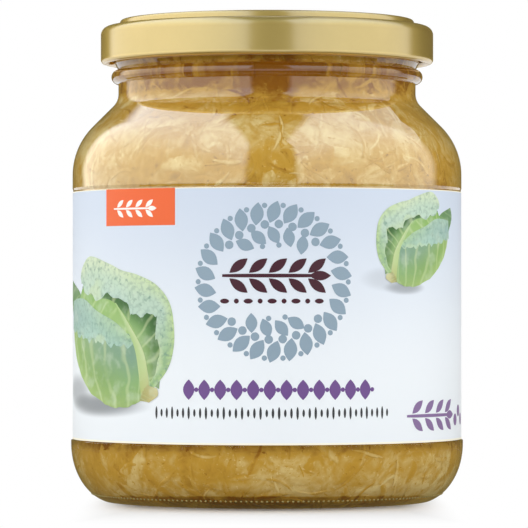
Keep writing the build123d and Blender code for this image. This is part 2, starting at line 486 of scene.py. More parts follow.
def heel(bottom, side, steps=22):
    """A quarter of an ellipse, from the foot's edge up to the wall."""
    across, up = side - RING_R, HEEL_RISE - bottom
    turns = np.linspace(0, pi / 2, steps + 1)
    return [(RING_R + across * sin(a), HEEL_RISE - up * cos(a)) for a in turns]


def shoulder(inset):
    """The shoulder's convex turn and the hollow one that leads into the neck."""
    upper = arc((UPPER_R - SHOULDER_TURN, SHOULDER_Z), SHOULDER_TURN - inset, 0, STEEPEST, 18)
    lower = arc((NECK_R + NECK_TURN, NECK_Z), NECK_TURN + inset, pi + STEEPEST, pi, 12)
    return upper + run(upper[-1], lower[0])[1:-1] + lower


def tidy_section(points, closest=0.004 * MM):
    """The section without doubled points."""
    kept = [points[0]]
    for point in points[1:]:
        if hypot(point[0] - kept[-1][0], point[1] - kept[-1][1]) > closest:
            kept.append(point)
    return kept


inside_line = dome(RING_R, FLOOR_Z, FLOOR_Z + FLOOR_DOME)[:-1] + heel(FLOOR_Z, INSIDE_R)
inside_line += run((INSIDE_R, HEEL_RISE), (INSIDE_R, SHOULDER_Z))[1:-1] + shoulder(WALL)
print("inner wall drawn with", len(inside_line), "points")

# %% Draw the glass
panel_z0, panel_z1 = LABEL_Z0 - LABEL_MARGIN, LABEL_Z1 + LABEL_MARGIN
outside_line = dome(RING_R - RING_WIDTH, 0, PUNT_RISE)
outside_line += run((RING_R - RING_WIDTH, 0), (RING_R, 0))[1:-1] + heel(0, BODY_R)
outside_line += run(
    (BODY_R, HEEL_RISE), (BODY_R, panel_z0), (PANEL_R, panel_z0 - 0.1 * MM), (PANEL_R, panel_z1),
    (UPPER_R, panel_z1 + PANEL_EASE), (UPPER_R, SHOULDER_Z),
)
outside_line += shoulder(0) + run((NECK_R, NECK_Z), (NECK_R, BEAD_Z - BEAD))
outside_line += arc((NECK_R, BEAD_Z), BEAD, -pi / 2, pi / 2, 14)
mouth_foot = BEAD_Z + BEAD
outside_line += run((NECK_R, mouth_foot), (MOUTH_R, mouth_foot + MOUTH_EASE))
outside_line += run((MOUTH_R, mouth_foot + MOUTH_EASE), (MOUTH_R, RIM_Z - RIM_ROUND), step=0.3 * MM)
rim_line = arc((MOUTH_R - RIM_ROUND, RIM_Z - RIM_ROUND), RIM_ROUND, 0, pi / 2, 4)
rim_line += arc((BORE_R + RIM_ROUND, RIM_Z - RIM_ROUND), RIM_ROUND, pi / 2, pi, 4)
glass_line = tidy_section(outside_line + rim_line + inside_line[::-1])
print("glass section has", len(glass_line), "points")


# %% Write the rule for turned pieces
def section_mesh(points):
    """A half-section as a line of vertices: x is the radius and z the height."""
    mesh = bpy.data.meshes.new("section")
    edges = [(i, i + 1) for i in range(len(points) - 1)]
    mesh.from_pydata([(r, 0, z) for r, z in points], edges, [])
    return mesh


turning = Rule(
    "Turned piece", Columns=180, Features=6, Feature_Depth=0.0, Feature_Sweep=0.8, Feature_Lean=0.0,
    Feature_Height=0.1, Feature_Rise=0.001, Still_Radius=0.0, Moved_Radius=1.0, Phase=0.0,
)
source = turning.entry
count = turning.node("GeometryNodeAttributeDomainSize", {}, {0: source})
columns = turning.size("Columns")
grid = turning.node("GeometryNodeMeshGrid", {}, {"Vertices X": columns + 1, "Vertices Y": count})
index = turning.node("GeometryNodeInputIndex")
row = index.math("MODULO", count)
column = (index / count).math("FLOOR")
angle = column / columns * (2 * pi)
section = turning.node(
    "GeometryNodeSampleIndex", {"data_type": "FLOAT_VECTOR"},
    {"Geometry": source, "Value": turning.position, "Index": row},
)
radius, _, height = section.split()

features = turning.size("Features")
repeat = (angle * features / (2 * pi) + turning.size("Phase")).math("FRACT") - 0.5
aside = repeat * (2 * pi) / features
along = (aside / turning.size("Feature_Sweep") * 2.0).math("ABSOLUTE")
middle = turning.size("Feature_Height") + turning.size("Feature_Lean").math("TANGENT") * aside * radius
off_middle = (height - middle) / turning.size("Feature_Rise")
bulge = (1.0 - off_middle * off_middle).math("MAXIMUM", 0.0).math("SQRT")
still, moved = turning.size("Still_Radius"), turning.size("Moved_Radius")
share = ((radius - still) / (moved - still)).math("MINIMUM", 1.0).math("MAXIMUM", 0.0)
pressed = radius + turning.size("Feature_Depth") * bulge * share * along.ease(0.8, 1.0, 1.0, 0.0)

wound = turning.vector(pressed * angle.math("COSINE"), pressed * angle.math("SINE"), height)
swept = turning.node("GeometryNodeSetPosition", {}, {"Geometry": grid, "Position": wound})
joined = turning.node("GeometryNodeMergeByDistance", {}, {"Geometry": swept, "Distance": 2e-6})
turning.close(turning.node("GeometryNodeSetShadeSmooth", {}, {"Geometry": joined}))


# %% Finish what a rule made
SHARP = radians(32)


def piece(name, mesh, slot, *replaced):
    """Stands a mesh in the scene as a piece of the jar."""
    mesh.name = name
    mesh.set_sharp_from_angle(angle=SHARP)
    made = stand(name, mesh)
    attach(made, "root")
    if replaced:
        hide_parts(*replaced)
    mesh.calc_loop_triangles()
    print(name, len(mesh.loop_triangles), "triangles")


def point_outwards(mesh):
    """Turns the faces of a closed mesh outwards."""
    shape = bmesh.new()
    shape.from_mesh(mesh)
    bmesh.ops.recalc_face_normals(shape, faces=shape.faces)
    shape.to_mesh(mesh)
    shape.free()
    return mesh


# %% [markdown]
# ## Glass
#
# Soda glass is nearly colourless, with a grey-green cast where light runs a long way through it.
# Round the neck it is painted amber, a painted reflection of the gold above and the brine behind.
# It shines most on the shoulder, less round the body and least at the neck, so tint and coat
# change with height. The Principled shader with full transmission bends the view as the real wall
# does. Lamps must reach the cabbage behind it, so rays towards lamps and rays that gather light
# pass straight through, by way of a Transparent shader. The thread segments are pressed out of
# the mouth by the same rule that turns the jar.

# %% Make the glass
CLEAR, AMBER_REFLECTION, FAINT = (0.93, 0.955, 0.935, 1), (0.84, 0.74, 0.46, 1), (0.95, 0.96, 0.95, 1)
BODY_COAT, NECK_COAT = 0.8, 0.28
glass = Finish("clear_glass")
height = glass.place.split()[2]
polish = height.ease(SHOULDER_Z + 2 * MM, SHOULDER_Z + 9 * MM, BODY_COAT, 1.0)
polish = polish * height.ease(NECK_Z - 5 * MM, NECK_Z - 2 * MM, 1.0, NECK_COAT)
# From the neck up the glass is tinted amber, a painted reflection of the gold and the brine.
clear = glass.shader(
    Base_Color=height.ease(NECK_Z, BEAD_Z).blend(CLEAR, AMBER_REFLECTION), Roughness=0.0, IOR=1.52,
    Transmission_Weight=1.0, Coat_IOR=1.8, Coat_Roughness=0.0, Coat_Weight=polish,
)
path = glass.node("ShaderNodeLightPath")
straight_on = glass.node("ShaderNodeBsdfTransparent", {}, {"Color": FAINT})
gather = {0: path.out("Is Diffuse Ray"), 1: clear, 2: straight_on}
to_lamp = {0: path.out("Is Shadow Ray"), 1: glass.node("ShaderNodeMixShader", {}, gather), 2: straight_on}
glass.end(glass.node("ShaderNodeMixShader", {}, to_lamp))

# %% Turn the jar
HEM_ROLL, LUG_SECTION, LUG_GAP, THREAD_GAP = 1.1 * MM, 0.9 * MM, 0.3 * MM, 0.1 * MM
hem_middle = HEM_Z + HEM_ROLL
thread_fall = MOUTH_R * sin(THREAD_SWEEP / 2) * sin(THREAD_LEAN)
thread_z = hem_middle + LUG_SECTION + THREAD_SECTION + thread_fall + THREAD_GAP
glass_mesh = turning.make(
    "glass", section_mesh(glass_line), Columns=192, Features=THREADS, Feature_Depth=THREAD_SECTION,
    Feature_Sweep=THREAD_SWEEP, Feature_Lean=THREAD_LEAN, Feature_Height=thread_z,
    Feature_Rise=THREAD_SECTION, Still_Radius=BORE_R + 1 * MM, Moved_Radius=MOUTH_R - 0.1 * MM,
    Phase=0.5, Material=glass.material,
)
piece("glass_jar", point_outwards(glass_mesh), "clear_glass", "jar")

# %% [markdown]
# ## The cap
#
# A twist-off cap is drawn from tinplate a quarter of a millimetre thick: a flat panel with a
# button that the vacuum pulls down, a raised ring that the next jar's foot stands in, a straight
# skirt and a hem rolled inwards. Six lugs are pressed in from the hem. Its gold is a lacquer, so
# it has the tinted shine of metal under a thin clear coat, with faint marks from handling. The
# roll of the hem catches more light, so it carries a painted highlight: a paler gold.

# %% Draw the cap
SHEET, CAP_SHOULDER, SEAT_INSET = 0.25 * MM, 2.2 * MM, 1.3 * MM
STACK_BREADTH, STACK_ROUND, SEAT_ROUND = 3.6 * MM, 0.7 * MM, 0.3 * MM
PANEL_SINK, BUTTON_R, BUTTON_SINK = 1.1 * MM, 11.0 * MM, 0.5 * MM
HEM_TURN = radians(265)


def cap_face(inset):
    """One face of the drawn sheet, from the axis out and round the hem."""
    seat, top, panel_top = RIM_Z + SHEET - inset, CAP_Z - inset, CAP_Z - PANEL_SINK - inset
    stack_out = MOUTH_R - SEAT_INSET - inset
    stack_in = MOUTH_R - SEAT_INSET - STACK_BREADTH + inset
    low, high = SEAT_ROUND + inset, STACK_ROUND - inset
    line = dome(BUTTON_R, panel_top, panel_top - BUTTON_SINK)
    line += run((BUTTON_R, panel_top), (stack_in - low, panel_top))[1:]
    line += arc((stack_in - low, panel_top + low), low, -pi / 2, 0, 5)
    line += arc((stack_in + high, top - high), high, pi, pi / 2, 6)
    line += arc((stack_out - high, top - high), high, pi / 2, 0, 6)
    line += arc((stack_out + low, seat + low), low, pi, 1.5 * pi, 5)
    turn = CAP_SHOULDER - inset
    line += arc((SKIRT_R - CAP_SHOULDER, seat - turn), turn, pi / 2, 0, 12)
    line += run((SKIRT_R - inset, seat - turn), (SKIRT_R - inset, hem_middle))[1:-1]
    return line + arc((SKIRT_R - HEM_ROLL, hem_middle), HEM_ROLL - inset, 0, -HEM_TURN, 24)


cap_line = tidy_section(cap_face(0) + cap_face(SHEET)[::-1])
print("cap section has", len(cap_line), "points")

# %% Lacquer the cap
DULL_GOLD, FAIR_GOLD, HEM_HIGHLIGHT = screen(170, 153, 91), screen(176, 158, 97), screen(226, 200, 124)
WARM_EDGE = (1.0, 0.84, 0.45, 1)
gold = Finish("gold_lacquer")
fine = gold.noise(900.0, 3.0)
broad = gold.noise(60.0, 2.0)
brushed = gold.noise(400.0, 2.0, gold.stretch(1.0, 1.0, 6.0))
lacquer = broad.ease(0.3, 0.7).blend(DULL_GOLD, FAIR_GOLD)
# Painted highlight: the roll of the hem is given a paler gold.
rolled = gold.place.split()[2].ease(hem_middle - 0.9 * MM, hem_middle + 0.4 * MM, 1.0, 0.0)
lacquer = rolled.blend(lacquer, HEM_HIGHLIGHT)
lacquered = gold.shader(
    Base_Color=lacquer, Metallic=1.0, Roughness=fine.ease(0.2, 0.8, 0.41, 0.45) + brushed * 0.03,
    Coat_Weight=1.0, Coat_IOR=1.9, Coat_Roughness=0.16, Specular_Tint=WARM_EDGE,
    Normal=gold.bump(fine + brushed, 0.006 * MM),
)
gold.end(lacquered)

cap_mesh = turning.make(
    "cap", section_mesh(cap_line), Columns=240, Features=THREADS,
    Feature_Depth=-(SKIRT_R - 2 * HEM_ROLL - MOUTH_R - LUG_GAP), Feature_Sweep=radians(14),
    Feature_Lean=0.0, Feature_Height=hem_middle, Feature_Rise=HEM_ROLL * 1.2,
    Still_Radius=SKIRT_R - 0.2 * MM, Moved_Radius=SKIRT_R - 2 * HEM_ROLL, Phase=0.7,
    Material=gold.material,
)
piece("gold_cap", point_outwards(cap_mesh), "gold_lacquer", "lid")

# %% [markdown]
# ## Sauerkraut
#
# Shredded cabbage packs against the glass as flat, soft strips with amber brine in the gaps. The
# core is a turned piece that reaches just into the wall, so that no air shows behind the glass.
# The strips lie on it, each as long, as wide and as bent as a shred is. A rule scatters them over
# the inner wall, turns each one at random and then lays every point of it on the wall, at the
# height that the point had above the strip's middle. Behind the label they lie only at its gap,
# where they can be seen. Anything finer than a grain of rice is colour and relief in the finish.
# The core and the strips read the same field of tones, so that they melt into each other. The
# field also carries painted shade in the neck, in the label's shadow and under the foot, and
# painted light low down, on the shoulder and at the bead.

# %% Say how pale the cabbage is at each place, with painted shade and painted light
DEEP, MIDDLE, PALE = screen(141, 84, 0), screen(201, 154, 55), screen(233, 207, 142)
# How much darker the painted shade and how much paler the painted light make each place.
GAP_SHADE, NECK_SHADE, LABEL_SHADOW, FOOT_SHADE = 0.13, 0.20, 0.16, 0.24
LOW_LIGHT, SHOULDER_LIGHT, SHOULDER_TOP_LIGHT, BEAD_LIGHT = 0.06, 0.08, -0.03, 0.10


def painted_shade(x, y, height):
    """Painted shade: darker in the neck and down its middle, in the label's shadow and under the foot."""
    # Painted shade in a strip down the front and the back of the neck.
    in_neck = height.ease(SHOULDER_Z + 10 * MM, SHOULDER_Z + 16 * MM)
    hollow = in_neck * x.math("ABSOLUTE").ease(5 * MM, 10 * MM, GAP_SHADE, 0)
    # Painted shade in the neck, under the cap.
    neck = height.ease(NECK_Z - 3 * MM, NECK_Z + 1 * MM) * NECK_SHADE
    # A painted shadow of the label: darker behind it, fading out over 4 mm below it.
    label_shadow = height.ease(LABEL_Z0 - 4 * MM, LABEL_Z0)
    label_shadow = label_shadow * height.ease(LABEL_Z1 - 3 * MM, LABEL_Z1, LABEL_SHADOW, 0)
    # Painted shade under the foot, where the cabbage faces the floor.
    foot = height.ease(FLOOR_Z + 0.15 * MM, FLOOR_Z + 0.45 * MM, 1.0, 0.0)
    inward = ((x * x + y * y) ** 0.5).ease(RING_R - 0.5 * MM, RING_R + 0.5 * MM, 1.0, 0.0)
    under = inward * height.math("LESS_THAN", 8 * MM)
    return hollow + neck + label_shadow + foot.math("MAXIMUM", under) * FOOT_SHADE


def painted_light(height):
    """Painted light: paler above the foot, low on the shoulder and at the bead; darker high on it."""
    low = height.ease(FLOOR_Z, 11 * MM, LOW_LIGHT, 0)
    shoulder_rise = height.ease(SHOULDER_Z, SHOULDER_Z + 8 * MM)
    shoulder_fade = height.ease(NECK_Z - 4 * MM, NECK_Z, 1.0, 0)
    high = height.ease(SHOULDER_Z + 8 * MM, SHOULDER_Z + 14 * MM, SHOULDER_LIGHT, SHOULDER_TOP_LIGHT)
    on_bead = height.ease(BEAD_Z, BEAD_Z + 3 * MM, 0.0, BEAD_LIGHT)
    return low + shoulder_rise * shoulder_fade * high + on_bead


def cabbage_tone(finish):
    """One field for all: broad drifts, overlapping leaves, fibres in the brine, painted shade and light.
    """
    drift = finish.vectors("SCALE", finish.noise(90.0, 2.0).out("Color"), scale=0.010)
    bent = finish.vectors("ADD", finish.place, drift)
    broad = finish.noise(34.0, 2.0)
    patch = finish.noise(150.0, 2.0, bent, distortion=0.8)
    fibre = finish.noise(620.0, 2.0, bent)
    bright = finish.noise(1300.0, 1.0).ease(0.66, 0.74) * 0.08
    dim = finish.noise(900.0, 2.0, bent).ease(0.28, 0.35, 0.13, 0)
    x, y, height = finish.place.split()
    tone = broad * 0.28 + patch * 0.24 + fibre * 0.22 + 0.26 + bright - dim
    return tone - painted_shade(x, y, height) + painted_light(height), patch + fibre * 0.4 + bright


def cabbage(name, tone_shift=0.0, tone_spread=0.0):
    """Wet cabbage. A shred keeps its own tone in its middle and melts into its place at the edge."""
    finish = Finish(name)
    tone, grain = cabbage_tone(finish)
    if tone_spread:
        own = (finish.paint("shade", "Fac") - 0.5) * tone_spread + tone_shift
        tone = tone + own * finish.paint("edge", "Fac").ease(0.25, 1.0, 1.0, 0.0)
    low = tone.ease(0.34, 0.60).blend(DEEP, MIDDLE)
    colour = tone.ease(0.58, 0.84).blend(low, PALE)
    relief = finish.bump(grain, 0.5 * MM, 0.6)
    return finish.end(finish.shader(
        Base_Color=colour, Roughness=0.4, Specular_IOR_Level=0.08, Normal=relief,
    ))


# %% Make the core
CORE_REACH = 0.10 * MM


def reach_out(points, reach):
    """The section moved outwards by a reach, at right angles to itself."""
    line = np.array(points)
    along = np.gradient(line, axis=0)
    out = np.stack([along[:, 1], -along[:, 0]], 1) / np.linalg.norm(along, axis=1)[:, None]
    moved = line + out * reach
    moved[0][0] = 0
    return [tuple(p) for p in moved]


filled_line = tidy_section(inside_line + run((BORE_R, NECK_Z), (BORE_R, FILL_Z), step=2 * MM))
core_line = reach_out(filled_line, CORE_REACH)
core_line += run((BORE_R, FILL_Z), (0, FILL_Z))[1:]
core_mesh = turning.make(
    "core", section_mesh(tidy_section(core_line)), Columns=160, Material=cabbage("packed_cabbage")
)
piece("sauerkraut_core", point_outwards(core_mesh), "sauerkraut", "sauerkraut")


# %% Cut the shreds
def shred_mesh(name, length, width, thickness, bend, wave, seed):
    """A flat strip lying in its own XY plane, bent sideways, with tapering, uneven ends."""
    dice = random.Random(seed)
    steps, ring = 12, 8
    turn, x, y = -bend / 2, 0.0, 0.0
    path = []
    phase = dice.uniform(0, 2 * pi)
    for i in range(steps):
        path.append((x, y, turn))
        turn += bend / steps + wave * sin(phase + i * 1.1) / steps
        x, y = x + cos(turn) * length / steps, y + sin(turn) * length / steps
    middle = path[steps // 2][:2]
    points, edges = [], []
    for i, (x, y, turn) in enumerate(path):
        t = i / (steps - 1)
        taper = min(1.0, 3.2 * min(t + 0.02, 1.02 - t)) ** 0.55
        half = width / 2 * taper * (1 + 0.16 * sin(3 * phase + 7 * t))
        for j in range(ring):
            a = 2 * pi * j / ring
            across, up = cos(a) * half, sin(a) * thickness / 2 * taper
            points.append((x - middle[0] - sin(turn) * across, y - middle[1] + cos(turn) * across, up))
            edges.append(max(abs(cos(a)), 1.0 - 5.0 * min(t, 1 - t)))
    faces = [
        (i * ring + j, i * ring + (j + 1) % ring, (i + 1) * ring + (j + 1) % ring, (i + 1) * ring + j)
        for i in range(steps - 1) for j in range(ring)
    ]
    faces += [tuple(range(ring))[::-1], tuple(range((steps - 1) * ring, steps * ring))]
    mesh = bpy.data.meshes.new(name)
    mesh.from_pydata(points, [], faces)
    for label, values in (("lift", [p[2] for p in points]), ("edge", edges)):
        mesh.attributes.new(label, "FLOAT", "POINT").data.foreach_set("value", values)
    return mesh


def shred_box(name, number, lengths, widths, thickness, bends):
    """A collection of differing shreds for the rule to pick from."""
    box = bpy.data.collections.new(name)
    dice = random.Random(name)
    for i in range(number):
        mesh = shred_mesh(
            f"{name}_{i}", dice.uniform(*lengths), dice.uniform(*widths), thickness,
            dice.uniform(*bends), dice.uniform(0.2, 1.6), f"{name} {i}",
        )
        box.objects.link(bpy.data.objects.new(f"{name}_{i}", mesh))
    print(name, "shreds to pick from:", number)
    return box


broad_box = shred_box("broad", 9, (9 * MM, 19 * MM), (2.6 * MM, 5.4 * MM), 0.5 * MM, (-1.2, 1.2))
thin_box = shred_box("thin", 8, (6 * MM, 14 * MM), (0.6 * MM, 1.3 * MM), 0.45 * MM, (-2.4, 2.4))

# %% Write the rule that scatters them on the wall
scatter = Rule("Shreds on the wall", Density=1000.0, Lift=0.0, Spread=0.0, Seed=1, Gap_Half=0.008,
               Hidden_Low=0.02, Hidden_High=0.07)
wall = scatter.entry
x, y, z = scatter.position.split()
below = z.math("LESS_THAN", scatter.size("Hidden_Low"))
above = z.math("GREATER_THAN", scatter.size("Hidden_High"))
behind = x.math("ABSOLUTE").math("LESS_THAN", scatter.size("Gap_Half")) * y.math("GREATER_THAN", 0.0)
shown = below.math("MAXIMUM", above).math("MAXIMUM", behind)
spots = scatter.node(
    "GeometryNodeDistributePointsOnFaces", {},
    {"Mesh": wall, "Density": scatter.size("Density"), "Seed": scatter.size("Seed"), "Selection": shown},
)


def chance(low, high, salt):
    """A number for each shred, drawn evenly from low to high."""
    settings = {"data_type": "FLOAT"}
    inputs = {2: low, 3: high, "Seed": scatter.size("Seed") + salt}
    return scatter.node("FunctionNodeRandomValue", settings, inputs, 1)


spin = scatter.node(
    "FunctionNodeAxisAngleToRotation", {}, {"Axis": (0.0, 0.0, 1.0), "Angle": chance(0.0, 2 * pi, 11)}
)
turned = scatter.node(
    "FunctionNodeRotateRotation", {"rotation_space": "LOCAL"},
    {0: spots.out("Rotation"), 1: spin},
)
picked = scatter.node(
    "GeometryNodeCollectionInfo", {},
    {"Collection": scatter.size("Collection"), "Separate Children": True, "Reset Children": True},
)
kept = spots
for label, low, high, salt in (("shade", 0.0, 1.0, 12), ("layer", 0.0, 1.0, 13)):
    kept = scatter.node(
        "GeometryNodeStoreNamedAttribute", {"data_type": "FLOAT", "domain": "POINT"},
        {"Geometry": kept, "Name": label, "Value": chance(low, high, salt)},
    )
laid = scatter.node(
    "GeometryNodeInstanceOnPoints", {},
    {"Points": kept, "Instance": picked, "Pick Instance": True, "Rotation": turned,
     "Scale": scatter.vectors("SCALE", (1.0, 1.0, 1.0), scale=chance(0.75, 1.15, 14))},
)

# %% Lay each point of a shred on the wall
loose = scatter.node("GeometryNodeRealizeInstances", {}, {0: laid})
nearest = scatter.node("GeometryNodeProximity", {"target_element": "FACES"}, {0: wall})
outward = scatter.node(
    "GeometryNodeSampleNearestSurface", {"data_type": "FLOAT_VECTOR"},
    {"Mesh": wall, "Value": scatter.node("GeometryNodeInputNormal")},
)


def stored(label):
    """A value that each point of a shred carries with it."""
    return scatter.node("GeometryNodeInputNamedAttribute", {"data_type": "FLOAT"}, {"Name": label})


rise = stored("lift") + stored("layer") * scatter.size("Spread") + scatter.size("Lift")
resting = scatter.vectors("ADD", nearest, scatter.vectors("SCALE", outward, scale=rise))
pressed_on = scatter.node("GeometryNodeSetPosition", {}, {"Geometry": loose, "Position": resting})
scatter.close(scatter.node("GeometryNodeSetShadeSmooth", {}, {"Geometry": pressed_on}))


# %% Lay the shreds
broad_finish = cabbage("broad_cabbage", 0.0, 0.22)
thin_finish = cabbage("thin_cabbage", -0.01, 0.24)
wall_mesh = turning.make("wall", section_mesh(filled_line), Columns=120)
point_outwards(wall_mesh)
hidden = {"Hidden_Low": LABEL_Z0 + 4 * MM, "Hidden_High": LABEL_Z1 - 4 * MM}
kinds = (
    ("broad_shreds", broad_box, broad_finish, 34000.0, -0.02 * MM, 0.20 * MM, 21),
    ("thin_shreds", thin_box, thin_finish, 36000.0, 0.06 * MM, 0.16 * MM, 22),
)
for name, box, finish, density, lift_up, spread, seed in kinds:
    made = scatter.make(
        name, wall_mesh.copy(), Density=density, Lift=lift_up, Spread=spread, Seed=seed,
        Collection=box, Material=finish, **hidden,
    )
    piece(name, made, "sauerkraut", "sauerkraut")

# %% [markdown]
# ## The label
#
# The paper is modelled as the printer has it, flat, with its artwork in thin films of ink above
# it. A rule then gives each film its thickness and bends everything round the jar. The label
# carries no words: a rosette, rows of ornaments and two cabbages fill the places that a maker's
# print would have. The paper is coated, a little bluer towards its top, and a bare edge of it
# shows above and below the print.

# %% Write the rule that wraps flat art round the jar
wrap = Rule("Wrap round the jar", Radius=0.05, Thickness=0.0001)
sheet = wrap.node("GeometryNodeExtrudeMesh", {}, {
    "Mesh": wrap.entry, "Offset": (0.0, -1.0, 0.0), "Offset Scale": wrap.size("Thickness"),
    "Individual": False,
})
back = wrap.node("GeometryNodeFlipFaces", {}, {"Mesh": wrap.entry})
both = wrap.node("GeometryNodeJoinGeometry")
wrap.tree.links.new(sheet.socket, both.socket.node.inputs[0])
wrap.tree.links.new(back.socket, both.socket.node.inputs[0])
closed = wrap.node("GeometryNodeMergeByDistance", {}, {"Geometry": both, "Distance": 1e-6})
x, y, z = wrap.position.split()
turn_to = x / wrap.size("Radius")
out_to = wrap.size("Radius") - y
bent = wrap.vector(out_to * turn_to.math("SINE"), out_to * turn_to.math("COSINE") * -1.0, z)
wrap.close(wrap.node("GeometryNodeSetPosition", {}, {"Geometry": closed, "Position": bent}))


# %% Draw flat prints
FILM = 0.015 * MM


def through(points, t):
    """The place at t, from 0 to 1, on a smooth curve through the points."""
    spans = len(points) - 1
    i = min(int(t * spans), spans - 1)
    u = t * spans - i
    a, b, c, d = (np.array(points[min(max(k, 0), spans)]) for k in (i - 1, i, i + 1, i + 2))
    return b + 0.5 * u * (c - a + u * (2 * a - 5 * b + 4 * c - d + u * (3 * (b - c) + d - a)))


class Print:
    """Flat art facing the reader: x runs along the label, z up it. Layers count from the front."""

    def __init__(self, front=-PAPER):
        self.front = front
        self.points, self.faces, self.inks, self.leaf, self.grain = [], [], [], [], []

    def film(self, rows, columns, place, ink, layer, veins=0, crinkle=0.0):
        """A grid of points at place(t, w), with the ink that ink(t, w) gives."""
        start, wide = len(self.points), columns + 1
        for i in range(rows + 1):
            for j in range(wide):
                t, w = i / rows, j / columns
                x, z = place(t, w)
                self.points.append((x, self.front - layer * FILM, z))
                self.inks.append(ink(t, w))
                self.leaf.append((t * veins, w))
                self.grain.append(crinkle)
        for i in range(rows):
            for j in range(columns):
                a = start + i * wide + j
                face = (a, a + 1, a + wide + 1, a + wide)
                (ax, _, az), (bx, _, bz), (cx, _, cz), (dx, _, dz) = (self.points[k] for k in face)
                turn = (cx - ax) * (dz - bz) - (cz - az) * (dx - bx)
                self.faces.append(face if turn > 0 else face[::-1])

    def blade(self, x, z, angle, length, width, ink, layer=1, point=0.5):
        """A disc (point 0.5), a leaf (1) or a bar (0), lying at an angle."""
        def place(t, w):
            along = (t - 0.5) * length
            aside = (w - 0.5) * width * max(0.04, 4 * t * (1 - t)) ** point
            return x + along * cos(angle) - aside * sin(angle), z + along * sin(angle) + aside * cos(angle)

        self.film(8, 2, place, lambda t, w: ink, layer)

    def mesh(self, name):
        """The art as a mesh, with its ink, its leaf coordinates and its grain."""
        mesh = bpy.data.meshes.new(name)
        mesh.from_pydata(self.points, [], self.faces)
        flat = [(x, z - LABEL_Z0) for x, _, z in self.points]
        for label, places in (("print", flat), ("leaf", self.leaf)):
            layer = mesh.uv_layers.new(name=label)
            corners = [c for loop in mesh.loops for c in places[loop.vertex_index]]
            layer.data.foreach_set("uv", corners)
        paint = mesh.color_attributes.new("ink", "FLOAT_COLOR", "POINT")
        paint.data.foreach_set("color", [c for ink in self.inks for c in ink])
        mesh.attributes.new("grain", "FLOAT", "POINT").data.foreach_set("value", self.grain)
        return mesh


# %% Stick flat art on the jar
def stick(name, flat, material, thickness=FILM):
    """Bends a flat mesh round the jar and stands it there as a piece of the label."""
    bent = wrap.make(name, flat, Radius=PANEL_R, Thickness=thickness, Material=material)
    piece(name, bent, "label_paper", "label")


# %% Print the paper
LABEL_BARE = 9.0 * MM
half_round = pi * PANEL_R - LABEL_BARE / 2
paper = Print(front=0.0)
paper.film(
    240, 24, lambda t, w: ((2 * t - 1) * half_round, LABEL_Z0 + LABEL_H * w), lambda t, w: (1, 1, 1, 1), 0
)

# %% Coat the paper
NEAR_WHITE, PALE_BLUE = screen(238, 244, 249), screen(205, 217, 234)
SHADOW_GREY, BARE_PAPER = screen(112, 118, 124), screen(255, 250, 228)
BARE_FOOT, BARE_HEAD = 0.45 * MM, 0.2 * MM
coated = Finish("label_paper")
s, t = coated.uv("print").split()[:2]
ground = (t / LABEL_H).ease(0.2, 1.1).blend(NEAR_WHITE, PALE_BLUE)
# The shadows printed beside the cabbages: middle, half width and half height in mm, and depth.
shadows = (
    (-50.0, 9.2, 21.0, 3.4, 0.80), (-64.0, 12.5, 12.0, 5.0, 0.55),
    (37.5, 38.3, 8.0, 1.9, 0.60), (31.5, 40.5, 9.0, 3.4, 0.22),
)
for across, high, reach, tall, depth in shadows:
    off = ((s - across * MM) / (reach * MM)) ** 2.0 + ((t - high * MM) / (tall * MM)) ** 2.0
    shade = off.ease(0.0, 1.0, depth, 0.0)
    ground = shade.blend(ground, SHADOW_GREY)
margin = t.math("LESS_THAN", BARE_FOOT).math("MAXIMUM", t.math("GREATER_THAN", LABEL_H - BARE_HEAD))
paper_colour = margin.blend(ground, BARE_PAPER)
fibre = coated.noise(2600.0, 3.0)
coated.end(coated.shader(
    Base_Color=paper_colour, Roughness=0.5, Specular_IOR_Level=0.35,
    Normal=coated.bump(fibre, 0.004 * MM),
))
stick("paper_label", paper.mesh("paper"), coated.material, PAPER)

# %% [markdown]
# ## The rosette
#
# A ring of leaves, berries and seeds stands where a maker's badge would be. Each ring is one shape
# repeated round a circle, so a rule makes it, and leaves a place in the middle clear. One ink
# finish serves all the plain art: it reads its colour from the mesh, as a press lays its colours
# one after another on the same paper.

# %% Mix the inks
inked = Finish("print_ink")
inked.end(inked.shader(Base_Color=inked.paint("ink"), Roughness=0.45, Specular_IOR_Level=0.35))
ORANGE, SLATE, MAROON = screen(238, 101, 44), screen(141, 163, 180), screen(64, 16, 38)
PURPLE, GREY, MAUVE = screen(110, 76, 142), screen(54, 56, 62), screen(134, 108, 156)
WHITE = screen(250, 246, 240)

# %% Write the rule for rings of shapes
ring_rule = Rule("Ring of shapes", Count=12, Ring=0.01, Start=0.0, Tilt=0.0, Clear_Width=0.0,
                 Clear_Height=0.0, Clear_Middle=0.0)
step = ring_rule.node("GeometryNodeInputIndex")
turn = step * (2 * pi) / ring_rule.size("Count") + ring_rule.size("Start")
spot = ring_rule.vector(turn.math("SINE"), 0.0, turn.math("COSINE"))
spot = ring_rule.vectors("SCALE", spot, scale=ring_rule.size("Ring"))
row_of = ring_rule.node(
    "GeometryNodeMeshLine", {}, {"Count": ring_rule.size("Count"), "Offset": (0.0, 0.0, 0.0)}
)
placed = ring_rule.node("GeometryNodeSetPosition", {}, {"Geometry": row_of, "Position": spot})
across, _, high = spot.split()
outside = across.math("ABSOLUTE").math("GREATER_THAN", ring_rule.size("Clear_Width"))
above = (high - ring_rule.size("Clear_Middle")).math("ABSOLUTE")
clear_of = above.math("GREATER_THAN", ring_rule.size("Clear_Height")).math("MAXIMUM", outside)
lean = turn + ring_rule.size("Tilt")
facing = ring_rule.node("FunctionNodeAxisAngleToRotation", {}, {"Axis": (0.0, 1.0, 0.0), "Angle": lean})
